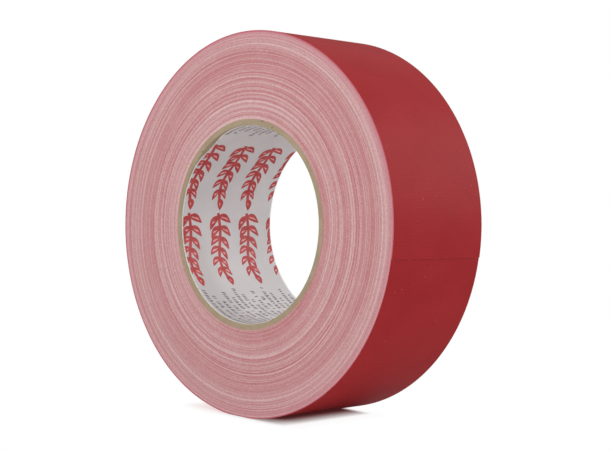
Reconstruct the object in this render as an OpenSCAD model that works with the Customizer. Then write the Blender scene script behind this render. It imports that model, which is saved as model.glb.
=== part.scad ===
// Roll of cloth-backed duct tape, standing on its edge.
// The bore's axis is the Y axis, the origin is in the middle of the bore, +Z is up and
// the free end of the tape points down on the +X side.

/* [Roll] */
// Width of the tape, and of the core that it is wound on
tape_w = 50; // [24:1:100]
// Outside diameter of the roll, over the free end
roll_d = 148.6; // [110:0.2:200]
// How far the turns are pressed flat where the roll stands
stand_flat = 0.2; // [0:0.05:0.3]

/* [Core] */
// Clear bore through the core, inside its paper liner
bore_d = 76.2; // [70:0.1:80]
// Thickness of the printed paper liner
liner_t = 0.15; // [0.1:0.01:0.3]
// Where the liner's two edges meet, as an angle above the horizontal on the -X side
liner_seam = 50; // [0:1:80]
// Number of board plies glued together in the core
ply_count = 5; // [3:1:7]
// Thickness of one board ply
ply_t = 0.42; // [0.3:0.01:0.6]

/* [Tape] */
// Thickness of the coloured film on the outside of the tape
film_t = 0.06; // [0.06:0.01:0.12]
// Thickness of the woven cloth in the middle of the tape
cloth_t = 0.10; // [0.08:0.01:0.2]
// Thickness of the adhesive on the inside of the tape
adhesive_t = 0.08; // [0.07:0.01:0.12]

/* [Free end] */
// How far the cut edge lies below the horizontal, in degrees round the roll
end_angle = 6.5; // [0:0.5:40]
// Number of lengths that the free end bends in as it is peeled
end_lengths = 6; // [3:1:8]
// Arc of the roll that each of these lengths covers, in degrees
length_arc = 6; // [4:0.5:8]

/* [Hidden] */

roll_r = roll_d / 2;
bore_r = bore_d / 2;
board_r = bore_r + liner_t;
core_r = board_r + ply_count * ply_t;
tape_t = film_t + cloth_t + adhesive_t;

// Gap between the liner's two edges
seam_gap = 0.3;
// Gap between neighbouring lengths of the free end, and under them
end_gap = 0.04;
gap_arc = end_gap / roll_r * 180 / PI;
peel_arc = end_lengths * length_arc;

// The outermost turn is a spiral drawn as two half circles. Each has its centre a quarter of
// the tape's thickness from the bore's axis, so that the turn climbs by one thickness.
half_shift = tape_t / 4;
first_half_r = roll_r - half_shift;
second_half_r = roll_r - 3 * half_shift;
// How far the lowest point of a turn is below the bore's axis once it's pressed flat
foot_r = second_half_r - half_shift * sin(end_angle) - stand_flat;

round_fn = 180;

film_colour = "#A23036";
cloth_colour = "#B5555A";
adhesive_colour = "#D8C6BE";
winding_colour = "#CF9A9B";
board_colour = "#AA9C7A";
liner_colour = "#C9C6C8";

LAYERS = ["film", "cloth", "adhesive"];
LAYER_DEPTH = [0, film_t, film_t + cloth_t];
LAYER_T = [film_t, cloth_t, adhesive_t];
LAYER_COLOUR = [film_colour, cloth_colour, adhesive_colour];

// Stands the roll up: angles run from +X towards +Z, and lengths run along Y.
module upright() {
    rotate([90, 0, 0])
        children();
}

// A band of the given thickness, from one angle to another round the bore's axis.
module band(r_out, thick, from, to) {
    rotate([0, 0, from])
        rotate_extrude(angle = to - from, $fn = round_fn)
            translate([r_out - thick, -tape_w / 2])
                square([thick, tape_w]);
}

// A whole ring round the bore's axis.
module ring(r_in, r_out) {
    difference() {
        cylinder(r = r_out, h = tape_w, center = true, $fn = round_fn);
        cylinder(r = r_in, h = tape_w + 2, center = true, $fn = round_fn);
    }
}

// Half of a disc, on the +Y side when side is 1 and on the -Y side when it is -1.
module half_disc(shift, r, side) {
    intersection() {
        translate([shift, 0, 0])
            cylinder(r = r, h = tape_w, center = true, $fn = round_fn);
        translate([0, side * roll_d / 2, 0])
            cube([2 * roll_d, roll_d, tape_w + 2], center = true);
    }
}

// Everything inside the outermost turn's spiral, down to a depth below the film's surface.
// Every layer is pressed flat by the same amount where the roll stands.
module spiral_disc(depth) {
    difference() {
        rotate([0, 0, -end_angle])
            union() {
                half_disc(half_shift, first_half_r - depth, 1);
                half_disc(-half_shift, second_half_r - depth, -1);
            }
        translate([0, depth - foot_r - roll_r, 0])
            cube([roll_d, roll_d, tape_w + 2], center = true);
    }
}

// The wedge of the roll between two angles that are less than half a turn apart. Angles are
// measured back along the tape from its cut edge, where the spiral has its step.
module wedge(from, to) {
    reach = 2 * roll_d;
    linear_extrude(tape_w + 2, center = true)
        polygon([[0, 0], reach * [cos(from), sin(from)], reach * [cos(to), sin(to)]]);
}

module printed_liner() {
    color(liner_colour)
        upright()
            rotate([0, 0, 180 - liner_seam])
                band(board_r, liner_t, seam_gap, 360 - seam_gap);
}

module core_ply(i) {
    color(board_colour)
        upright()
            ring(board_r + (i - 1) * ply_t, board_r + i * ply_t);
}

// Every turn under the outermost one, wound on the core.
module wound_tape() {
    color(winding_colour)
        upright()
            difference() {
                spiral_disc(tape_t);
                cylinder(r = core_r, h = tape_w + 2, center = true, $fn = round_fn);
            }
}

// One layer of the outermost turn, from where the free end lifts to the start of the turn.
module outer_turn(layer) {
    color(LAYER_COLOUR[layer])
        upright()
            difference() {
                spiral_disc(LAYER_DEPTH[layer]);
                spiral_disc(LAYER_DEPTH[layer] + LAYER_T[layer]);
                rotate([0, 0, -end_angle])
                    wedge(-gap_arc / 2, peel_arc + gap_arc / 2);
            }
}

// One layer of one length of the free end. Length 1 is next to the outermost turn, and the
// last one ends in the cut edge.
module tape_end(k, layer) {
    from = (end_lengths - k) * length_arc + (k == end_lengths ? 0 : gap_arc / 2);
    to = (end_lengths - k + 1) * length_arc - gap_arc / 2;
    clearance = LAYERS[layer] == "adhesive" ? end_gap : 0;
    color(LAYER_COLOUR[layer])
        upright()
            rotate([0, 0, -end_angle])
                translate([half_shift, 0, 0])
                    band(first_half_r - LAYER_DEPTH[layer], LAYER_T[layer] - clearance, from, to);
}

printed_liner();
for (i = [1 : ply_count])
    core_ply(i);
wound_tape();
for (layer = [0 : len(LAYERS) - 1])
    outer_turn(layer);
for (k = [1 : end_lengths])
    for (layer = [0 : len(LAYERS) - 1])
        tape_end(k, layer);
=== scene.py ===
import math

import bpy
import numpy as np
from mathutils import Matrix, Vector


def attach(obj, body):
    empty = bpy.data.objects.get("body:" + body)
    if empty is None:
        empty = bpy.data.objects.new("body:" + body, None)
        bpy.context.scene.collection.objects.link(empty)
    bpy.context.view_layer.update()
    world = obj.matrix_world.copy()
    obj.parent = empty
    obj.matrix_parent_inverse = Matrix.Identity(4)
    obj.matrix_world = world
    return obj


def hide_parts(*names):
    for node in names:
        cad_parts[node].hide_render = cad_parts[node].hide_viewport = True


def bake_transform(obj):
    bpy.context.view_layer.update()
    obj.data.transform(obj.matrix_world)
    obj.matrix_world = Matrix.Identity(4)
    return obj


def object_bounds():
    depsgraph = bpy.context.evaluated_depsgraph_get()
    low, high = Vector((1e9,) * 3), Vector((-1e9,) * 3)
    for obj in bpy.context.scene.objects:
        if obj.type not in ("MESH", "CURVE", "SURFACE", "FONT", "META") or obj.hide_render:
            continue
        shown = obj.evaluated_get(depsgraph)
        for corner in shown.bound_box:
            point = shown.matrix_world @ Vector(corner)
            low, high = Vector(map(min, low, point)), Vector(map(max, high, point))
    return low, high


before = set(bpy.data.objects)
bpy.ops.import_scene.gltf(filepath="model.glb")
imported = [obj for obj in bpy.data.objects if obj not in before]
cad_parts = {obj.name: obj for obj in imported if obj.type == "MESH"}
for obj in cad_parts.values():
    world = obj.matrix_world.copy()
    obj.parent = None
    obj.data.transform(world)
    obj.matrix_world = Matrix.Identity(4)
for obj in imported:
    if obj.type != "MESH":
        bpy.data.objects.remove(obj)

# The box of the imported CAD model. The floor stands at its bottom.
cad_low, cad_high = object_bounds()

# ---------------------------------------------------------------------------------------
# Sizes, in millimetres and degrees. The first of them repeat those of the CAD source.
# ---------------------------------------------------------------------------------------
MM = 0.001
HALF_W = 25.0
ROLL_R = 74.3
BORE_R = 38.1
LINER_T = 0.15
PLY_T = 0.42
PLIES = 5
FILM_T = 0.06
CLOTH_T = 0.10
ADHESIVE_T = 0.08
TAPE_T = FILM_T + CLOTH_T + ADHESIVE_T
# The cut edge of the tape is this far below the horizontal, on the +X side.
END_ANGLE = 6.5
# The free end has this many lengths, each as long as this arc.
END_LENGTHS = 6
LENGTH_ARC = 6.0
# The adhesive of the free end is this much thinner, so that it clears the turn under it.
END_GAP = 0.04
# The roll's weight presses the outermost turns in by this much where it stands.
STAND_FLAT = 0.2
LINER_SEAM = 130.0
SEAM_GAP = 0.3

BOARD_R = BORE_R + LINER_T
CORE_R = BOARD_R + PLIES * PLY_T
# Each half of the outermost turn is an arc whose centre is this far from the roll's own.
SHIFT = TAPE_T / 4
FOOT_R = ROLL_R - 3 * SHIFT - SHIFT * math.sin(math.radians(END_ANGLE)) - STAND_FLAT
PEEL_ARC = END_LENGTHS * LENGTH_ARC
# Where the outermost turn starts, under the cut edge.
TURN_START = 359.985

# Ten ribs of the weave in each length of the free end, so that neighbouring pieces meet on
# the crest of a rib.
RIBS_PER_LENGTH = 10
RIB_ARC = LENGTH_ARC / RIBS_PER_LENGTH
RIB_HEIGHT = 0.016
STEPS_PER_RIB = 4
WEFT_PITCH = math.radians(RIB_ARC) * ROLL_R
WARP_PITCH = 0.95

# The mesh of the cloth and the adhesive has a station every so many degrees.
LAYER_STEP = 0.75
# Places across the tape of the mesh's rows, for the film and for the other two layers.
FILM_ROWS = (-25.0, -24.7, -23.0, -18.0, -12.0, -6.0, 0.0, 6.0, 12.0, 18.0, 23.0, 24.7, 25.0)
LAYER_ROWS = (-25.0, -24.5, -12.0, 0.0, 12.0, 24.5, 25.0)
# Next to the cut edge the mesh is finer, and the tear fades out over this arc.
CUT_ROWS = 161
CUT_STEPS = 12
TORN_ARC = 2.5

# Turns of tape drawn under the outermost one. The real roll has about the same number. They
# are circles, and the last few settle to the shape of the outermost turn.
TURNS = 140
SETTLED_TURNS = 14
WINDING_STATIONS = 300
# The turns are drawn as nested shells, each from one of them to another.
SHELLS = (("winding_inner", 0, 51), ("winding_middle", 51, 97), ("winding_outer", 97, TURNS))
TURN_GROOVE = 0.022
# The outermost boundary between the turns has this mean radius.
WALL_R = ROLL_R - 1.5 * TAPE_T

CORE_STATIONS = 240
# The eased edge of each ply of board.
PLY_EASE = 0.05

# The liner's printed face is just outside the clear bore, so that the ink stays out of it.
PAPER_R = BORE_R + 0.02
PAPER_T = LINER_T - 0.03
LINER_STATIONS = 1096
# The liner's last few degrees lie over its start, and both are thinned there.
LINER_OVERLAP = 5.0
LAP_TAPER = 1.5
LAP_THINNING = 0.55

# The print stays this far inside the liner's slit edges. A shape that they cut down to less
# than this share of itself isn't printed.
NEAR_MARGIN = 0.5
FAR_MARGIN = 0.25
SMALLEST_SCRAP = 0.15
INK_TOP_R = BORE_R + 0.03
INK_FOOT_R = PAPER_R + 0.01


def rng(seed):
    return np.random.default_rng(seed)


def wobble(x, seed, period, octaves=3):
    """Smooth noise between about -1 and 1 along x, made of a few sines of seeded phase."""
    draw = rng(seed)
    total = np.zeros_like(np.asarray(x, float))
    weight = 0.0
    for k in range(octaves):
        for _ in range(3):
            w = 0.6 ** k
            speed = 2 * math.pi / period * 1.9 ** k * draw.uniform(0.75, 1.3)
            total = total + w * np.sin(x * speed + draw.uniform(0, 2 * math.pi))
            weight += w
    return total / weight * 1.7


# ---------------------------------------------------------------------------------------
# Meshes
# ---------------------------------------------------------------------------------------
def make_mesh(name, points, faces, material, attributes=None, sharp=50.0):
    """An object from points in millimetres and quads or triangles, smooth below a sharp angle."""
    mesh = bpy.data.meshes.new(name)
    faces = [tuple(int(i) for i in f) for f in faces]
    mesh.from_pydata((np.asarray(points, float) * MM).tolist(), [], faces)
    for key, values in (attributes or {}).items():
        values = np.asarray(values, np.float32)
        kind, field = ("FLOAT_VECTOR", "vector") if values.ndim == 2 else ("FLOAT", "value")
        layer = mesh.attributes.new(key, kind, "POINT")
        layer.data.foreach_set(field, values.ravel())
    mesh.materials.append(material)
    mesh.validate()
    mesh.update()
    mesh.shade_smooth()
    mesh.set_sharp_from_angle(angle=math.radians(sharp))
    obj = bpy.data.objects.new(name, mesh)
    bpy.context.scene.collection.objects.link(obj)
    return obj


def signed_volume(points, faces, origin=(0.0, 0.0, 0.0)):
    """Six times the volume between faces and an origin. It is below 0 if they face inwards."""
    p = np.asarray(points, float) - np.asarray(origin)
    return sum(float(np.dot(p[f[0]], np.cross(p[f[k]], p[f[k + 1]])))
               for f in faces for k in range(1, len(f) - 1))


def outward(points, faces):
    """The faces, turned over if the closed shell they make is inside out."""
    return faces if signed_volume(points, faces) > 0 else [f[::-1] for f in faces]


def sweep_faces(stations, around, ring, cap=None):
    """Faces of a closed section swept through stations. A ring joins its last station to its
    first, and a cap is the section's own faces, used at both ends of an open sweep."""
    i = np.arange(stations if ring else stations - 1)[:, None]
    j = np.arange(around)[None, :]
    nxt = (i + 1) % stations
    a = i * around + j
    b = nxt * around + j
    c = nxt * around + (j + 1) % around
    d = i * around + (j + 1) % around
    faces = np.stack([a, b, c, d], -1).reshape(-1, 4)
    faces = [tuple(f) for f in faces.tolist()]
    if cap:
        last = (stations - 1) * around
        faces += [tuple(f) for f in cap]
        faces += [tuple(last + k for k in f[::-1]) for f in cap]
    return faces


def sweep(name, loops, ring, material, cap=None, attributes=None, sharp=50.0):
    """A closed shell from an array of stations x section points x 3."""
    stations, around, _ = loops.shape
    faces = sweep_faces(stations, around, ring, cap)
    # The first step of the sweep tells which way round its faces are.
    step = loops[:2].reshape(-1, 3)
    if signed_volume(step, sweep_faces(2, around, False), step.mean(0)) < 0:
        faces = [f[::-1] for f in faces]
    return make_mesh(name, loops.reshape(-1, 3), faces, material, attributes, sharp)


def strip_cap(across):
    """Faces that close the end of a strip with this many points across it, on each side."""
    return [(j, j + 1, 2 * across - 2 - j, 2 * across - 1 - j) for j in range(across - 1)]


def front_and_back(front, back):
    """Points of two faces of a sheet or ring, or values at them, in one loop round both."""
    return np.concatenate([front, back[:, ::-1]], 1)


# ---------------------------------------------------------------------------------------
# Materials
# ---------------------------------------------------------------------------------------
class Nodes:
    """A node tree, with short ways to add nodes to it."""

    def __init__(self, tree):
        self.tree = tree

    def add(self, kind, inputs=None, **props):
        n = self.tree.nodes.new("ShaderNode" + kind)
        for key, value in props.items():
            setattr(n, key, value)
        for key, value in (inputs or {}).items():
            self.put(n.inputs[key], value)
        return n

    def put(self, socket, value):
        if isinstance(value, bpy.types.NodeSocket):
            self.tree.links.new(value, socket)
        else:
            socket.default_value = value

    def math(self, operation, *values, clamp=False):
        n = self.add("Math", operation=operation, use_clamp=clamp)
        for socket, value in zip(n.inputs, values):
            self.put(socket, value)
        return n.outputs[0]

    def vector(self, operation, *values):
        n = self.add("VectorMath", operation=operation)
        for socket, value in zip(n.inputs, values):
            self.put(socket, value)
        return n.outputs["Value" if operation in ("LENGTH", "DOT_PRODUCT") else "Vector"]

    def scale(self, vector, factor):
        n = self.add("VectorMath", {"Scale": factor}, operation="SCALE")
        self.put(n.inputs[0], vector)
        return n.outputs["Vector"]

    def split(self, vector):
        return self.add("SeparateXYZ", {"Vector": vector}).outputs

    def join(self, x=0.0, y=0.0, z=0.0):
        return self.add("CombineXYZ", {"X": x, "Y": y, "Z": z}).outputs[0]

    def noise(self, vector, scale=1.0, detail=3.0, roughness=0.5, offset=None):
        """Noise with about this many features in a metre. An offset gives another pattern."""
        if offset is not None:
            vector = self.vector("ADD", self.scale(vector, scale), offset)
            scale = 1.0
        n = self.add("TexNoise", {"Vector": vector, "Scale": scale, "Detail": detail,
                                  "Roughness": roughness})
        return n.outputs["Fac"]

    def streaks(self, along, across, scale_along, scale_across):
        """Noise with its own scale along and across the tape."""
        return self.noise(self.join(self.math("MULTIPLY", along, scale_along),
                                    self.math("MULTIPLY", across, scale_across)))

    def wave(self, length, pitch, operation="SINE"):
        """A wave along a length in metres, with its pitch in millimetres."""
        return self.math(operation, self.math("MULTIPLY", length, 2 * math.pi / (pitch * MM)))

    def ramp(self, value, low, high, out_low=0.0, out_high=1.0):
        """value taken from low..high to out_low..out_high, smooth and clamped."""
        n = self.add("MapRange", {"Value": value, "From Min": low, "From Max": high,
                                  "To Min": out_low, "To Max": out_high},
                     interpolation_type="SMOOTHSTEP")
        return n.outputs["Result"]

    def band(self, value, rise, fall):
        """1 between a rise and a fall, which are each a pair of values, and 0 outside them."""
        return self.math("MULTIPLY", self.ramp(value, *rise), self.ramp(value, *fall, 1.0, 0.0))

    def mix(self, factor, a, b, blend="MIX"):
        n = self.add("Mix", data_type="RGBA", blend_type=blend)
        self.put(n.inputs[0], factor)
        for socket, value in ((n.inputs[6], a), (n.inputs[7], b)):
            self.put(socket, (*value, 1.0) if isinstance(value, tuple) else value)
        return n.outputs[2]

    def tint(self, tone, value, low, high, amount, towards):
        """A tone that moves towards another by up to an amount, as value goes from low to high."""
        return self.mix(self.ramp(value, low, high, 0.0, amount), tone, towards)

    def object_point(self):
        return self.add("TexCoord").outputs["Object"]

    def attribute(self, name, output="Vector"):
        return self.add("Attribute", attribute_type="GEOMETRY",
                        attribute_name=name).outputs[output]


class Shader(Nodes):
    """A material with a Principled shader."""

    def __init__(self, name, specular=0.5, sheen=0.0):
        self.material = bpy.data.materials.new(name)
        self.material.use_nodes = True
        super().__init__(self.material.node_tree)
        self.surface = self.tree.nodes["Principled BSDF"]
        self.surface.inputs["Specular IOR Level"].default_value = specular
        self.surface.inputs["Sheen Weight"].default_value = sheen

    def colour(self, value):
        self.put(self.surface.inputs["Base Color"], value)

    def roughness(self, value):
        self.put(self.surface.inputs["Roughness"], value)

    def bump(self, *layers):
        """Height layers of (height socket, distance in metres), one on top of another."""
        normal = None
        for height, distance in layers:
            n = self.add("Bump", {"Height": height, "Strength": 1.0, "Distance": distance})
            if normal is not None:
                self.put(n.inputs["Normal"], normal)
            normal = n.outputs["Normal"]
        self.put(self.surface.inputs["Normal"], normal)


FILM_DEEP = (0.378, 0.0130, 0.0170)
FILM_BRIGHT = (0.420, 0.0170, 0.0215)
FILM_MOTTLE = (0.34, 0.010, 0.014)
# Painted shade for the grooves between the film's ribs.
FILM_GROOVE_SHADE = (0.27, 0.007, 0.010)
FILM_SPECK = (0.62, 0.16, 0.18)
FILM_MARK = (0.12, 0.006, 0.01)
# Red film that the knife has smeared over the layers under it, along the slit edges.
DRAGGED_FILM = (0.58, 0.115, 0.165)
# Painted shade at the torn end: the layers under the film are dark red there.
TORN_END_SHADE = (0.36, 0.030, 0.036)


def film_look(s, place):
    """Tone, roughness, rib and heights of the red film at a place along and across the tape."""
    along, across, _ = s.split(place)
    # Slow change of tone along and across the tape, then finer mottling.
    broad = s.streaks(along, across, 60.0, 45.0)
    fine = s.noise(place, 1400.0, 2.0)
    tone = s.mix(s.ramp(broad, 0.3, 0.7), FILM_DEEP, FILM_BRIGHT)
    tone = s.tint(tone, fine, 0.35, 0.75, 0.35, FILM_MOTTLE)
    # A few dust specks and dark marks on the film.
    speck = s.noise(place, 900.0, 0.0)
    tone = s.tint(tone, speck, 0.83, 0.88, 0.45, FILM_SPECK)
    mark = s.noise(place, 700.0, 0.0, offset=(7.0, 3.0, 5.0))
    tone = s.tint(tone, mark, 0.82, 0.88, 0.5, FILM_MARK)
    # Painted shade in the grooves between the ribs.
    rib = s.wave(along, WEFT_PITCH, "COSINE")
    tone = s.tint(tone, rib, 0.4, -0.8, 0.42, FILM_GROOVE_SHADE)
    # Lengthwise yarns of the cloth show faintly through the film, across the moulded ribs.
    yarn = s.wave(across, WARP_PITCH)
    slub = s.streaks(along, across, 350.0, 1500.0)
    heights = ((yarn, 2.0e-6), (slub, 9.0e-6), (fine, 6.0e-6))
    return tone, s.ramp(fine, 0.2, 0.8, 0.44, 0.56), rib, heights


def film_material():
    s = Shader("film_red", specular=0.13)
    tone, roughness, _, heights = film_look(s, s.attribute("strip"))
    s.colour(tone)
    s.roughness(roughness)
    s.bump(*heights)
    return s.material


def smear_and_end_shade(s, along, across, tone):
    """The tone of a layer, reddened along the slit edges of the tape, and made dark red at its
    torn end as painted shade.
    """
    slit = (HALF_W - 0.3) * MM, (HALF_W - 0.1) * MM
    tone = s.tint(tone, s.math("ABSOLUTE", across), *slit, 0.75, DRAGGED_FILM)
    # Painted shade: dark red near the torn end.
    return s.tint(tone, along, 0.0010, 0.0005, 0.85, TORN_END_SHADE)


def weave_of(s, along, across):
    """Height of the plain weave, from -1 to 1."""
    return s.math("MULTIPLY", s.wave(along, WEFT_PITCH), s.wave(across, WARP_PITCH))


def cloth_material():
    s = Shader("cloth_weave", specular=0.2, sheen=0.15)
    place = s.attribute("strip")
    along, across, _ = s.split(place)
    weave = weave_of(s, along, across)
    fuzz = s.noise(place, 2600.0)
    tone = s.mix(s.ramp(weave, -0.8, 0.8), (0.56, 0.30, 0.31), (0.66, 0.43, 0.43))
    tone = s.tint(tone, fuzz, 0.35, 0.7, 0.5, (0.50, 0.20, 0.21))
    s.colour(smear_and_end_shade(s, along, across, tone))
    s.roughness(s.ramp(fuzz, 0.2, 0.8, 0.75, 0.95))
    s.bump((weave, 2.0e-5), (fuzz, 2.0e-5))
    return s.material


def adhesive_material():
    s = Shader("adhesive_rubber", specular=0.5)
    place = s.attribute("strip")
    along, across, _ = s.split(place)
    streak = s.streaks(along, across, 180.0, 1400.0)
    pits = s.noise(place, 1500.0)
    tone = s.mix(s.ramp(streak, 0.3, 0.7), (0.66, 0.50, 0.47), (0.74, 0.62, 0.58))
    tone = s.tint(tone, pits, 0.45, 0.75, 0.4, (0.58, 0.38, 0.36))
    s.colour(smear_and_end_shade(s, along, across, tone))
    s.roughness(s.ramp(pits, 0.3, 0.7, 0.28, 0.5))
    s.bump((weave_of(s, along, across), 8.0e-6), (pits, 2.5e-5))
    return s.material


def winding_rings(s, place):
    """The distance of a place from the roll's axis, the same with a slow sway that makes the
    rings wander, and a function that gives noise drawn out round the roll."""
    x, y, z = s.split(place)
    flat = s.join(x, 0.0, z)
    radius = s.vector("LENGTH", flat)
    heading = s.vector("NORMALIZE", flat)
    sway = s.noise(s.vector("ADD", s.scale(heading, 1.1),
                            s.join(0.0, s.math("MULTIPLY", radius, 45.0), 0.0)), 1.0, 1.0)
    swayed = s.math("ADD", radius, s.math("MULTIPLY", sway, 0.0014))
    # The two sides of the roll have different rings.
    other_side = s.math("MULTIPLY", y, 900.0)

    def rings(per_metre, spread, detail, offset=0.0):
        """Noise that is fine along the radius and slow along the angle."""
        across = s.math("ADD", s.math("MULTIPLY", swayed, per_metre), other_side)
        across = s.math("ADD", across, offset)
        return s.noise(s.vector("ADD", s.scale(heading, spread), s.join(0.0, across, 0.0)),
                       1.0, detail)

    return radius, swayed, rings


def winding_sides(s, turn):
    """Tone, roughness and heights of the turns' slit edges, on the two sides of the roll."""
    place = s.object_point()
    radius, swayed, rings = winding_rings(s, place)
    wide = rings(260.0, 0.28, 2.0)
    middle = rings(900.0, 0.26, 2.0, 11.0)
    pale = rings(1700.0, 0.30, 1.0, 23.0)
    dark = rings(2000.0, 0.36, 1.0, 57.0)
    hair = rings(3700.0, 0.50, 0.0, 91.0)
    grain = s.noise(place, 1900.0, 2.0)
    fleck = s.noise(place, 1500.0, 1.0, offset=(9.0, 4.0, 2.0))
    blotch = s.noise(place, 110.0, 2.0)

    tone = s.mix(s.ramp(wide, 0.40, 0.60), (0.545, 0.230, 0.242), (0.640, 0.375, 0.375))
    tone = s.tint(tone, middle, 0.50, 0.64, 0.62, (0.720, 0.505, 0.490))
    tone = s.tint(tone, middle, 0.42, 0.30, 0.48, (0.510, 0.175, 0.188))
    # A broad pale band near the rim and a pinker one inside it.
    paler = s.band(swayed, (0.0665, 0.0690), (0.0702, 0.0720))
    pinker = s.band(swayed, (0.0560, 0.0600), (0.0635, 0.0660))
    tone = s.mix(s.math("MULTIPLY", paler, 0.30), tone, (0.700, 0.490, 0.480))
    tone = s.mix(s.math("MULTIPLY", pinker, 0.30), tone, (0.540, 0.195, 0.215))
    # The film's edge is one part of the thickness of each turn.
    film = s.band(s.math("FRACT", turn), (0.0, 0.12), (0.24, 0.38))
    tone = s.mix(s.math("MULTIPLY", film, 0.25), tone, (0.43, 0.110, 0.120))
    relief = s.attribute("relief", "Fac")
    for value, low, high, amount, towards in (
        (pale, 0.57, 0.68, 0.50, (0.81, 0.66, 0.64)),
        (dark, 0.40, 0.30, 0.46, (0.44, 0.115, 0.125)),
        (hair, 0.62, 0.74, 0.36, (0.83, 0.69, 0.66)),
        (hair, 0.38, 0.26, 0.34, (0.44, 0.105, 0.115)),
        # Painted shade: turns whose edges lie further back are darker.
        (relief, 0.05, 0.20, 0.30, (0.47, 0.155, 0.165)),
        (grain, 0.46, 0.70, 0.32, (0.46, 0.150, 0.165)),
        (grain, 0.46, 0.24, 0.26, (0.80, 0.62, 0.59)),
        (fleck, 0.70, 0.80, 0.55, (0.46, 0.075, 0.090)),
        (blotch, 0.45, 0.75, 0.12, (0.70, 0.45, 0.44)),
        # The outermost turns are pinker, and the last ones have film dragged over their edges.
        (radius, 0.0700, 0.0725, 0.40, (0.585, 0.245, 0.285)),
        (radius, 0.0734, 0.0738, 0.75, DRAGGED_FILM),
    ):
        tone = s.tint(tone, value, low, high, amount, towards)
    heights = ((pale, 3.0e-5), (dark, 3.0e-5), (grain, 2.5e-5))
    return tone, s.ramp(grain, 0.3, 0.7, 0.62, 0.8), heights


def winding_material():
    """The turns' edges at the sides, and at the outer wall the film that the free end lies on."""
    s = Shader("winding_edges", specular=0.15)
    turn = s.attribute("turn", "Fac")
    side_tone, side_roughness, side_heights = winding_sides(s, turn)
    film_tone, film_roughness, rib, film_heights = film_look(s, s.attribute("strip"))
    wall = s.ramp(turn, TURNS - 0.3, TURNS - 0.05)
    side = s.math("SUBTRACT", 1.0, wall)
    s.colour(s.mix(wall, side_tone, film_tone))
    s.roughness(s.math("ADD", s.math("MULTIPLY", side_roughness, side),
                       s.math("MULTIPLY", film_roughness, wall)))
    wall_heights = ((rib, RIB_HEIGHT * MM / 2), *film_heights)
    s.bump(*((s.math("MULTIPLY", height, weight), distance)
             for weight, heights in ((side, side_heights), (wall, wall_heights))
             for height, distance in heights))
    return s.material


def board_material():
    s = Shader("core_board", specular=0.25)
    place = s.object_point()
    fibre = s.noise(place, 1700.0, 4.0, 0.6)
    cloud = s.noise(place, 140.0, 2.0)
    fleck = s.noise(place, 620.0, 0.0, offset=(3.0, 1.0, 8.0))
    tone = s.mix(s.ramp(cloud, 0.35, 0.65), (0.395, 0.312, 0.205), (0.440, 0.352, 0.236))
    tone = s.tint(tone, fibre, 0.35, 0.7, 0.45, (0.335, 0.258, 0.160))
    tone = s.tint(tone, fleck, 0.80, 0.86, 0.75, (0.10, 0.07, 0.04))
    s.colour(tone)
    s.roughness(s.ramp(fibre, 0.3, 0.7, 0.78, 0.92))
    s.bump((fibre, 4.0e-5), (cloud, 3.0e-5))
    return s.material


def paper_material():
    s = Shader("liner_paper", specular=0.3)
    place = s.object_point()
    fibre = s.noise(place, 1500.0, 4.0, 0.6)
    cloud = s.noise(place, 90.0, 2.0)
    tone = s.mix(s.ramp(cloud, 0.35, 0.65), (0.690, 0.668, 0.672), (0.722, 0.700, 0.700))
    # Painted shade: the lower part is darker towards the near edge.
    _, y, z = s.split(place)
    lower_near_shade = s.math("MULTIPLY", s.ramp(y, -0.005, -0.018), s.ramp(z, 0.002, -0.014))
    tone = s.mix(lower_near_shade, tone, (0.585, 0.562, 0.560))
    tone = s.tint(tone, fibre, 0.4, 0.75, 0.35, (0.63, 0.608, 0.608))
    # Where the sheet was slit and torn, its white core shows.
    edge = s.attribute("edge", "Fac")
    torn = s.math("MULTIPLY", s.ramp(edge, 0.75, 0.15), s.ramp(fibre, 0.30, 0.55))
    s.colour(s.mix(torn, tone, (0.93, 0.92, 0.90)))
    s.roughness(s.ramp(fibre, 0.3, 0.7, 0.55, 0.72))
    s.bump((fibre, 2.0e-5), (cloud, 5.0e-5))
    return s.material


def ink_material(name, dark, light):
    """Printing ink: solid, with the paper's fibres showing through in places."""
    s = Shader(name, specular=0.4)
    place = s.object_point()
    fibre = s.noise(place, 2100.0)
    wash = s.noise(place, 420.0, 2.0)
    tone = s.mix(s.ramp(wash, 0.35, 0.65), dark, light)
    s.colour(s.tint(tone, fibre, 0.62, 0.85, 0.5, (0.72, 0.62, 0.62)))
    s.roughness(s.ramp(fibre, 0.3, 0.7, 0.42, 0.58))
    s.bump((fibre, 1.0e-5))
    return s.material


def thread_material():
    s = Shader("cut_thread", specular=0.2)
    fuzz = s.noise(s.attribute("strip"), 5000.0, 2.0)
    tone = s.mix(s.ramp(fuzz, 0.3, 0.7), (0.44, 0.050, 0.060), (0.62, 0.20, 0.21))
    s.colour(s.mix(s.attribute("pale", "Fac"), tone, (0.80, 0.50, 0.49)))
    s.roughness(s.ramp(fuzz, 0.3, 0.7, 0.7, 0.9))
    s.bump((fuzz, 1.0e-5))
    return s.material


FILM = film_material()
CLOTH = cloth_material()
ADHESIVE = adhesive_material()
WINDING = winding_material()
BOARD = board_material()
PAPER = paper_material()
INK_RED = ink_material("ink_red", (0.46, 0.036, 0.040), (0.56, 0.062, 0.062))
INK_PINK = ink_material("ink_pink", (0.80, 0.34, 0.34), (0.86, 0.46, 0.45))
INK_GREY = ink_material("ink_grey", (0.050, 0.050, 0.056), (0.10, 0.10, 0.11))
THREAD = thread_material()


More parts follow.
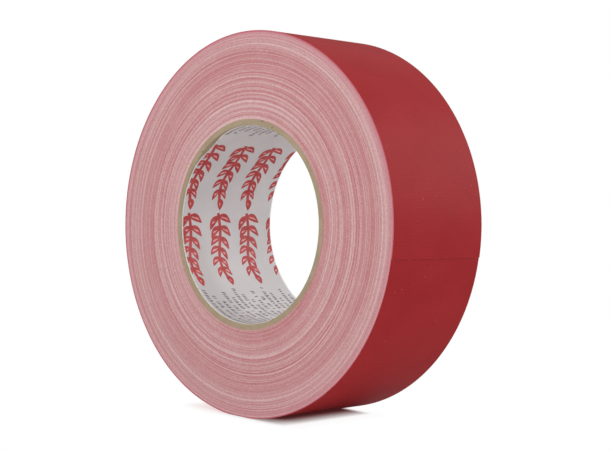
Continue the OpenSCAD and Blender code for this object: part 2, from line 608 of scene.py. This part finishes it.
# ---------------------------------------------------------------------------------------
# The outermost turn and the free end
# ---------------------------------------------------------------------------------------
def spiral_point(phi, depth):
    """x and z of the outermost turn, depth below the film, at angles measured back along
    the tape from its cut edge."""
    phi = np.asarray(phi, float)
    a = np.radians(phi)
    first = phi < 180
    shift = np.where(first, SHIFT, -SHIFT)
    radius = np.where(first, ROLL_R - SHIFT, ROLL_R - 3 * SHIFT) - depth
    reach = shift * np.cos(a) + np.sqrt(radius ** 2 - (shift * np.sin(a)) ** 2)
    b = a - math.radians(END_ANGLE)
    return reach * np.cos(b), np.maximum(reach * np.sin(b), depth - FOOT_R)


def cut_back(y):
    """How many degrees the tape is torn back from the cut edge at each place across it."""
    tooth = np.abs(((np.asarray(y) / 1.3 + 0.35 * wobble(y, 5, 9.0)) % 1.0) - 0.5)
    return 0.02 + 0.18 * tooth + 0.16 * (1 + wobble(y, 6, 7.0))


LAYERS = {
    "film": (0.0, FILM_T, FILM),
    "cloth": (FILM_T, CLOTH_T, CLOTH),
    "adhesive": (FILM_T + CLOTH_T, ADHESIVE_T, ADHESIVE),
}


def strip_grid(layer, start, end):
    """The angles and the places across the tape of a layer's points, between two angles."""
    if layer == "film":
        count = int(round((end - start) / RIB_ARC * STEPS_PER_RIB))
        rows = FILM_ROWS
    else:
        count = int(round((end - start) / LAYER_STEP))
        rows = LAYER_ROWS
    if start == 0:
        count = max(count, CUT_STEPS)
        rows = np.linspace(-HALF_W, HALF_W, CUT_ROWS)
    phi, y = np.meshgrid(np.linspace(start, end, count + 1), rows, indexing="ij")
    if start == 0:
        phi = phi + cut_back(y) * np.clip(1 - phi / TORN_ARC, 0, 1) ** 2
    # The slit edges wander a little, always inwards.
    wander = 0.02 + 0.02 * wobble(phi, 31, 23.0) + 0.008 * wobble(phi, 32, 2.3)
    on_edge = np.abs(y) > HALF_W - 0.1
    return phi, y * (1 - np.clip(wander, 0, 1) * on_edge / HALF_W)


def tape_strip(name, layer, start, end, bodies, nodes):
    """One layer of the tape between two angles, as a closed strip. It rides on one body; a strip
    given two bodies is attached to neither."""
    top, thick, material = LAYERS[layer]
    if layer == "adhesive" and bodies != ["roll"]:
        thick -= END_GAP
    phi, y = strip_grid(layer, start, end)
    depth = np.full_like(y, top)
    if layer == "film":
        fade = 0.75 + 0.25 * wobble(phi + y * 0.15, 12, 17.0)
        crest = 1 - np.cos(2 * math.pi * phi / RIB_ARC)
        depth = depth + RIB_HEIGHT / 2 * fade * crest
    arc = np.radians(phi) * ROLL_R
    faces = []
    for level in (depth, np.full_like(y, top + thick)):
        x, z = spiral_point(phi, level)
        faces.append((np.stack([x, y, z], -1), np.stack([arc, y, level], -1)))
    (outer, strip_out), (inner, strip_in) = faces
    strip = front_and_back(strip_out, strip_in).reshape(-1, 3) * MM
    obj = sweep(name, front_and_back(outer, inner), False, material, strip_cap(y.shape[1]),
                {"strip": strip})
    if len(bodies) == 1:
        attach(obj, bodies[0])
    else:
        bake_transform(obj)
    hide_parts(*nodes)


def build_tape():
    half = LENGTH_ARC / 2
    for layer in ("film", "cloth", "adhesive"):
        tape_strip("tape_turn_" + layer, layer, PEEL_ARC + half, TURN_START, ["roll"],
                   ["outer_turn_" + layer])
        for k in range(1, END_LENGTHS + 1):
            end = (END_LENGTHS - k + 1) * LENGTH_ARC + half
            before = "roll" if k == 1 else "tape_end_%d" % (k - 1)
            tape_strip("tape_bend_%d_%s" % (k, layer), layer, end - LENGTH_ARC, end,
                       [before, "tape_end_%d" % k], ["tape_end_%d_%s" % (k, layer)])
        tape_strip("tape_tip_" + layer, layer, 0, half, ["tape_end_%d" % END_LENGTHS],
                   ["tape_end_%d_%s" % (END_LENGTHS, layer)])


def build_threads():
    """Cut ends of the cloth's lengthwise yarns, which stick out a little past the film."""
    draw = rng(41)
    points, faces, strip, pale = [], [], [], []
    sides, stations = 6, 5
    y = -HALF_W + 0.6
    while y < HALF_W - 0.5:
        here = y + draw.uniform(-0.15, 0.15)
        base_phi = float(cut_back(here)) + 0.12
        length = draw.uniform(0.10, 0.30)
        radius = draw.uniform(0.030, 0.050)
        lean = draw.uniform(-0.25, 0.25)
        rise = draw.uniform(-0.01, 0.03)
        # Some are frayed: they curl up past the film and show the pale yarn.
        frayed = draw.random() < 0.4
        if frayed:
            length, radius, rise = 1.3 * length, 1.3 * radius, draw.uniform(0.07, 0.12)
        first = len(points)
        for k in range(stations):
            t = k / (stations - 1)
            phi = max(base_phi - math.degrees(t * length / ROLL_R), 0.0)
            x, z = spiral_point(phi, FILM_T + CLOTH_T / 2 - rise * t)
            r = radius * (1 - 0.45 * t * t)
            b = math.radians(phi - END_ANGLE)
            for side in range(sides):
                g = 2 * math.pi * side / sides
                dr, dy = r * math.sin(g), r * math.cos(g)
                points.append((float(x) + dr * math.cos(b), here + lean * t * length + dy,
                               float(z) + dr * math.sin(b)))
                strip.append((t * length * MM, here * MM, 0.0))
                pale.append(float(frayed))
        tube = sweep_faces(stations, sides, False, [tuple(range(sides))])
        faces += outward(points, [tuple(i + first for i in f) for f in tube])
        y += WARP_PITCH * draw.choice([1, 1, 1, 2])
    obj = make_mesh("cut_edge_threads", points, faces, THREAD,
                    {"strip": strip, "pale": pale}, 60.0)
    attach(obj, "tape_end_%d" % END_LENGTHS)


# ---------------------------------------------------------------------------------------
# The turns under the outermost one
# ---------------------------------------------------------------------------------------
def turn_recess(turn, phi):
    """How far the slit edge of each turn lies behind the side of the roll, in millimetres."""
    draw = rng(77)
    count = TURNS + 2
    walk = np.cumsum(draw.normal(0, 0.010, count))
    walk -= np.linspace(walk[0], walk[-1], count)
    step = draw.normal(0, 0.010, count)
    proud = (draw.random(count) < 0.13) * draw.uniform(-0.05, 0.05, count)
    phase = np.cumsum(draw.normal(0, 0.55, count))
    swing = draw.uniform(0.3, 1.0, count)
    index = np.clip(np.floor(turn), 0, count - 1).astype(int)
    a = np.radians(phi)
    level = walk[index] + step[index] + proud[index] * (0.5 + 0.5 * np.sin(a + phase[index] * 2))
    level = level + 0.014 * swing[index] * np.sin(a + phase[index])
    level = level + 0.008 * np.sin(2 * a + phase[index] * 1.7)
    return np.clip(0.07 + level, 0.0, 0.2)


def ring_surface(turn, phi):
    """x and z of the boundary at this many turns out from the core."""
    out_x, out_z = spiral_point(phi, TAPE_T)
    reach = np.hypot(out_x, out_z)
    plain = CORE_R + turn * (WALL_R - CORE_R) / TURNS
    settle = np.clip((turn - (TURNS - SETTLED_TURNS)) / SETTLED_TURNS, 0, 1) ** 2
    radius = plain + settle * (reach - WALL_R)
    b = np.radians(phi - END_ANGLE)
    return radius * np.cos(b), radius * np.sin(b)


def build_winding():
    """The turns, in nested shells. The back's slit edges lie in the opposite order."""
    phi = np.linspace(0, TURN_START, WINDING_STATIONS)[:, None]
    for name, first, last in SHELLS:
        turn = np.arange(first, last + 0.25, 0.5)[None, :] * np.ones_like(phi)
        angle = phi * np.ones_like(turn)
        x, z = ring_surface(turn, angle)
        # Each boundary between two turns is a groove. It belongs to the turn outside it,
        # except on the shell's own outer wall.
        groove = (turn % 1.0 < 0.25) * TURN_GROOVE
        inside = np.minimum(turn, last - 0.5)
        front_recess = turn_recess(inside, angle) + groove
        back_recess = turn_recess(TURNS - inside, 360 - angle) + groove
        loops = front_and_back(np.stack([x, front_recess - HALF_W, z], -1),
                               np.stack([x, HALF_W - back_recess, z], -1))
        # Measured along the tape, the outer wall follows on from the outermost turn.
        arc = np.radians(angle + 360) * ROLL_R
        arc = front_and_back(arc, arc)
        strip = np.stack([arc, loops[..., 1], 0 * arc], -1).reshape(-1, 3) * MM
        obj = sweep(name, loops, True, WINDING, None,
                    {"turn": front_and_back(turn, turn).ravel(),
                     "relief": front_and_back(front_recess, back_recess).ravel(),
                     "strip": strip}, 62.0)
        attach(obj, "roll")
        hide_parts("wound_tape")


# ---------------------------------------------------------------------------------------
# The core and its liner
# ---------------------------------------------------------------------------------------
def build_core():
    """The plies of board, each a ring with eased edges."""
    draw = rng(19)
    theta = np.linspace(0, 360, CORE_STATIONS, endpoint=False)[:, None]
    for k in range(PLIES):
        r0 = BOARD_R + k * PLY_T
        r1 = r0 + PLY_T
        front_inset, back_inset = draw.uniform(0.0, 0.05, 2)
        radii = np.array([r0, r0 + PLY_EASE, (r0 + r1) / 2, r1 - PLY_EASE, r1])[None, :]
        ease = np.array([PLY_EASE, 0.012, 0.0, 0.012, PLY_EASE])[None, :]
        inset = ease + 0.012 * (1 + wobble(theta, 200 + k, 90.0))
        x, z = radii * np.cos(np.radians(theta)), radii * np.sin(np.radians(theta))
        loops = front_and_back(np.stack([x, inset + front_inset - HALF_W, z], -1),
                               np.stack([x, HALF_W - inset - back_inset, z], -1))
        obj = sweep("core_board_%d" % (k + 1), loops, True, BOARD, None, None, 40.0)
        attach(obj, "roll")
        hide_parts("core_ply_%d" % (k + 1))


def degrees_past(theta, start):
    """How far an angle is past another, from -180 to 180."""
    return (np.asarray(theta) - start + 180) % 360 - 180


def torn_share(theta):
    """How much the near edge of the liner is torn back, from 0 to 1 at its seam."""
    past_seam = degrees_past(theta, LINER_SEAM)
    return np.exp(-(past_seam / np.where(past_seam > 0, 9.0, 13.0)) ** 2)


def liner_near(theta):
    """How far the liner's edge is from the side of the roll, at the front."""
    ragged = 0.30 + 0.10 * np.abs(wobble(theta, 51, 14.0)) + 0.08 * np.abs(wobble(theta, 52, 1.7))
    top = 0.75 * np.exp(-(degrees_past(theta, 85.0) / 40.0) ** 2)
    return ragged + top + 1.9 * torn_share(theta) * (1 + 0.10 * wobble(theta, 53, 3.0))


def liner_far(theta):
    """The same at the back."""
    return 0.10 + 0.10 * np.abs(wobble(theta, 54, 17.0)) + 0.07 * np.abs(wobble(theta, 55, 1.9))


def build_liner():
    """The sheet goes once round the bore, and its last few degrees lie over its start."""
    start = LINER_SEAM + SEAM_GAP
    theta = np.linspace(start, start + 360 + LINER_OVERLAP, LINER_STATIONS)[:, None]
    near, far = liner_near(theta), liner_far(theta)
    share = np.array([0.0, 0.004, 0.012, 0.03, 0.25, 0.5, 0.75, 0.97, 0.988, 0.996, 1.0])[None, :]
    y = (-HALF_W + near) * (1 - share) + (HALF_W - far) * share
    # The slit edges curl off the board a little, and the torn one most.
    from_near, from_far = y + HALF_W - near, HALF_W - far - y
    curl = np.clip(torn_share(theta) + 0.25, 0, 1)
    lift = 0.10 * curl * np.exp(-from_near / 0.22)
    lift = lift + 0.02 * np.exp(-from_far / 0.22) * (1 + wobble(theta, 56, 40.0))
    # Both ends are thinned where they overlap.
    past_start = theta - start
    over = np.clip((past_start - 360 + LAP_TAPER) / LAP_TAPER, 0, 1)
    under = np.clip((LINER_OVERLAP + LAP_TAPER - past_start) / LAP_TAPER, 0, 1)
    inner_r = PAPER_R + PAPER_T * LAP_THINNING * under - lift
    outer_r = PAPER_R + PAPER_T * (1 - LAP_THINNING * over) - lift
    a = np.radians(theta)
    inner, outer = (np.stack([r * np.cos(a), y, r * np.sin(a)], -1) for r in (inner_r, outer_r))
    edge = np.minimum(from_near, from_far)
    obj = sweep("liner_sheet", front_and_back(inner, outer), False, PAPER,
                strip_cap(share.shape[1]), {"edge": front_and_back(edge, edge).ravel()})
    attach(obj, "roll")
    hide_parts("printed_liner")


def clip_outline(outline, low, high):
    """The part of an outline whose second coordinate is between two values."""
    for limit, sign in ((low, 1.0), (high, -1.0)):
        kept = []
        for p, q in zip(outline, outline[1:] + outline[:1]):
            dp, dq = sign * (p[1] - limit), sign * (q[1] - limit)
            if dp >= 0:
                kept.append(p)
            if (dp > 0 > dq) or (dp < 0 < dq):
                t = dp / (dp - dq)
                kept.append((p[0] + t * (q[0] - p[0]), limit))
        outline = kept
    return outline


def outline_area(outline):
    x, y = np.array(outline, float).T
    return abs(float(np.dot(x, np.roll(y, -1)) - np.dot(y, np.roll(x, -1)))) / 2


class Print:
    """Thin shapes of one ink on the liner. A shape is an outline of (along, across) points in
    millimetres, filled from its middle and bent onto the bore."""

    def __init__(self, name, material, height):
        self.name, self.material, self.height = name, material, height
        self.points, self.faces = [], []

    def add(self, outline, theta, y):
        """A shape, with its origin at an angle round the bore and a place across the tape."""
        outline = [tuple(p) for p in np.asarray(outline, float)]
        whole = outline_area(outline)
        reach = theta + np.degrees(np.array([p[0] for p in outline]) / BORE_R)
        outline = clip_outline(
            outline, -HALF_W + float(liner_near(reach).max()) + NEAR_MARGIN - y,
            HALF_W - float(liner_far(reach).max()) - FAR_MARGIN - y)
        if len(outline) < 3 or outline_area(outline) < SMALLEST_SCRAP * whole:
            return
        count = len(outline)
        flat = np.vstack([outline, np.mean(outline, 0)])
        top = len(self.points)
        low = top + count + 1
        a = np.radians(theta) + flat[:, 0] / BORE_R
        for radius in (INK_TOP_R - self.height, INK_FOOT_R):
            self.points += np.stack([radius * np.cos(a), y + flat[:, 1],
                                     radius * np.sin(a)], -1).tolist()
        made = []
        for k in range(count):
            j = (k + 1) % count
            made.append((top + k, top + j, top + count))
            made.append((low + j, low + k, low + count))
            made.append((top + k, low + k, low + j, top + j))
        self.faces += outward(self.points, made)

    def build(self):
        obj = make_mesh(self.name, self.points, self.faces, self.material)
        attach(obj, "roll")


SPRIG_LENGTH = 28.5
STEM_STEPS = 16
LEAF_PAIRS = 6
# Where the sprigs start, as angles round half the bore and places across the tape.
SPRIG_ROWS = (126.8, 176.0)
SPRIG_COLUMNS = (-21.3, -5.3, 10.7, 26.7)


def leaf(length, width, angle, at, bend):
    """Outline of a pointed leaf that starts at a point and grows along an angle."""
    t = np.linspace(0, 1, 9)
    half = width / 2 * np.sin(math.pi * t ** 0.8) ** 0.85
    spine = bend * length * np.sin(math.pi * t)
    upper = np.stack([t * length, spine + half], -1)
    lower = np.stack([t * length, spine - half], -1)[1:-1][::-1]
    c, s = math.cos(math.radians(angle)), math.sin(math.radians(angle))
    return np.vstack([upper, lower]) @ np.array([[c, s], [-s, c]]) + np.asarray(at)


def stem_point(t):
    """A place on the sprig's wavy stem, from 0 at its foot to 1 at its tip."""
    return np.array([t * SPRIG_LENGTH, 1.3 * math.sin(2 * math.pi * t)])


def sprig(red, pink, theta, y):
    """A bold leafy sprig with pale veins, printed along the liner."""
    for k in range(STEM_STEPS):
        a, b = stem_point(k / STEM_STEPS), stem_point((k + 1) / STEM_STEPS)
        along = (b - a) / np.linalg.norm(b - a)
        n = np.array([-along[1], along[0]]) * 0.75
        red.add([a - n, b - n, b + n, a + n], theta, y)
    for k in range(LEAF_PAIRS):
        t = 0.04 + 0.150 * k
        at = stem_point(t)
        slope = math.degrees(math.atan2(stem_point(t + 0.02)[1] - at[1], 0.02 * SPRIG_LENGTH))
        size = 1.0 - 0.045 * k
        for side in (1, -1):
            angle = slope + side * (52 - 3 * k)
            along = np.array([math.cos(math.radians(angle)), math.sin(math.radians(angle))])
            red.add(leaf(7.6 * size, 3.1 * size, angle, at, side * 0.10), theta, y)
            pink.add(leaf(5.0 * size, 0.80, angle + side * 3, at + 1.3 * along, side * 0.10),
                     theta, y)
    tip = stem_point(0.93)
    red.add(leaf(5.2, 3.2, 12, tip, 0.12), theta, y)
    pink.add(leaf(3.4, 0.6, 12, tip + np.array([0.8, 0.1]), 0.12), theta, y)


def hatching(grey, draw, start, end, y):
    """A row of short strokes, some of them slanting, with gaps between groups of them."""
    theta = start
    while theta < end:
        tall = draw.uniform(1.3, 1.9)
        lean = draw.choice([-0.3, 0.0, 0.3, 0.45])
        low = draw.uniform(-0.12, 0.12) - tall / 2
        grey.add([(0, low), (0.42, low), (0.42 + lean, low + tall), (lean, low + tall)], theta, y)
        gap = draw.choice([0.85, 0.95, 1.05, 1.05, 2.4], p=[0.25, 0.25, 0.2, 0.2, 0.1])
        theta += math.degrees(gap / BORE_R)


def build_print():
    """The same layout on both halves of the liner: rows of sprigs, then rows of hatching."""
    red = Print("liner_print_sprigs", INK_RED, 0.022)
    pink = Print("liner_print_veins", INK_PINK, 0.028)
    grey = Print("liner_print_hatching", INK_GREY, 0.022)
    draw = rng(63)
    for half_turn in (0.0, 180.0):
        for row in SPRIG_ROWS:
            for y in SPRIG_COLUMNS:
                sprig(red, pink, row + half_turn, y)
        for k, y in enumerate(np.arange(-22.3, 23.0, 3.2)):
            hatching(grey, draw, 226.0 + (k * 7) % 5 * 2.6 + half_turn,
                     296.0 - (k * 5) % 4 * 3.0 + half_turn, y)
    for ink in (red, pink, grey):
        ink.build()


# ---------------------------------------------------------------------------------------
# Floor, lights and camera
# ---------------------------------------------------------------------------------------
def floor_material():
    """White to the camera, with a soft contact shadow, and pale grey to everything else."""
    s = Shader("floor_pale")
    x, y, _ = s.split(s.object_point())
    # The shadow fades out on the -X side, is lighter under the near rim, and ends at the far one.
    contact = s.add("AmbientOcclusion", {"Distance": 0.0040}, samples=24).outputs["AO"]
    dark = s.math("SUBTRACT", 1.0, s.math("POWER", contact, 0.85), clamp=True)
    dark = s.math("MULTIPLY", dark, s.ramp(x, -0.015, -0.001))
    dark = s.math("MULTIPLY", dark, s.ramp(y, -0.031, -0.012, 0.35, 1.0))
    dark = s.math("MULTIPLY", dark, s.ramp(y, 0.0205, 0.0265, 1.0, 0.0))
    # A faint wider shadow, warm from the red tape above.
    around = s.add("AmbientOcclusion", {"Distance": 0.007}, samples=8).outputs["AO"]
    faint = s.math("MULTIPLY", s.math("SUBTRACT", 1.0, around),
                   s.ramp(x, -0.014, 0.000, 1.0, 0.25))
    warm = s.math("SUBTRACT", 1.0, s.math("MULTIPLY_ADD", faint, 0.18, dark), clamp=True)
    cool = s.math("SUBTRACT", 1.0, s.math("MULTIPLY_ADD", faint, 0.36,
                                          s.math("MULTIPLY", dark, 1.06)), clamp=True)
    tone = s.mix(1.0, s.join(warm, cool, cool), (0.040, 0.012, 0.014), "LIGHTEN")
    glow = s.add("Emission", {"Color": tone, "Strength": 1.0})
    path = s.add("LightPath").outputs
    bounce = s.mix(path["Is Glossy Ray"], (0.95, 0.95, 0.95), (0.65, 0.65, 0.65))
    plain = s.add("BsdfDiffuse", {"Color": bounce})
    blend = s.add("MixShader", {0: path["Is Camera Ray"], 1: plain.outputs[0],
                                2: glow.outputs[0]})
    s.put(s.tree.nodes["Material Output"].inputs["Surface"], blend.outputs[0])
    return s.material


def build_stage():
    size = 3.0
    z = cad_low.z
    mesh = bpy.data.meshes.new("floor")
    mesh.from_pydata([(-size, -size, z), (size, -size, z), (size, size, z), (-size, size, z)],
                     [], [(0, 1, 2, 3)])
    mesh.materials.append(floor_material())
    floor = bpy.data.objects.new("floor", mesh)
    bpy.context.scene.collection.objects.link(floor)


def build_world():
    """White to the camera, and an even soft light that is dim behind the roll."""
    world = bpy.data.worlds.new("studio")
    world.use_nodes = True
    bpy.context.scene.world = world
    world.node_tree.nodes.clear()
    w = Nodes(world.node_tree)
    heading = w.add("TexCoord").outputs["Generated"]
    level = w.add("MapRange", {"Value": w.split(heading)["Z"], "From Min": -0.2,
                               "From Max": 0.9, "To Min": 0.60, "To Max": 0.565})
    # The light is dim behind the roll, so that its outline stays dark.
    behind = w.vector("DOT_PRODUCT", heading, (-0.70, 0.71, 0.0))
    level = w.math("MULTIPLY", level.outputs["Result"], w.ramp(behind, 0.78, 0.98, 1.0, 0.25))
    soft = w.add("Background", {"Color": (1.0, 1.0, 1.0, 1.0), "Strength": level})
    white = w.add("Background", {"Color": (1.0, 1.0, 1.0, 1.0), "Strength": 1.0})
    seen = w.add("LightPath").outputs["Is Camera Ray"]
    both = w.add("MixShader", {0: seen, 1: soft.outputs[0], 2: white.outputs[0]})
    w.add("OutputWorld", {"Surface": both.outputs[0]})


def area_light(name, place, size, watts):
    """A square light that points at the middle of the roll."""
    light = bpy.data.lights.new(name, "AREA")
    light.shape = "RECTANGLE"
    light.size, light.size_y = size, size
    light.energy = watts
    lamp = bpy.data.objects.new(name, light)
    lamp.location = place
    lamp.rotation_euler = Vector(place).to_track_quat("Z", "Y").to_euler()
    lamp.visible_camera = False
    bpy.context.scene.collection.objects.link(lamp)


def build_camera():
    """A camera to the right of the front, looking down a little and rolled a little."""
    azimuth, down, roll = math.radians(44.215), math.radians(2.182), math.radians(2.314)
    right = Vector((math.cos(azimuth), math.sin(azimuth), 0.0))
    back = Vector((math.sin(azimuth) * math.cos(down), -math.cos(azimuth) * math.cos(down),
                   math.sin(down)))
    up = back.cross(right)
    turned_right = math.cos(roll) * right + math.sin(roll) * up
    turned_up = -math.sin(roll) * right + math.cos(roll) * up
    matrix = Matrix((turned_right, turned_up, back)).transposed().to_4x4()
    matrix.translation = Vector((0.38532, -0.38884, 0.02093))
    data = bpy.data.cameras.new("camera")
    data.sensor_width = 36.0
    data.lens = 81.61
    data.clip_start = 0.01
    camera = bpy.data.objects.new("camera", data)
    camera.matrix_world = matrix
    bpy.context.scene.collection.objects.link(camera)
    bpy.context.scene.camera = camera


build_camera()
build_tape()
build_threads()
build_winding()
build_core()
build_liner()
build_print()
build_stage()
build_world()
area_light("side_box", (0.64, 0.95, 0.52), 0.8, 4.6)
area_light("key", (0.05, -0.5, 0.45), 0.4, 1.62)
bpy.context.scene.view_settings.view_transform = "Standard"
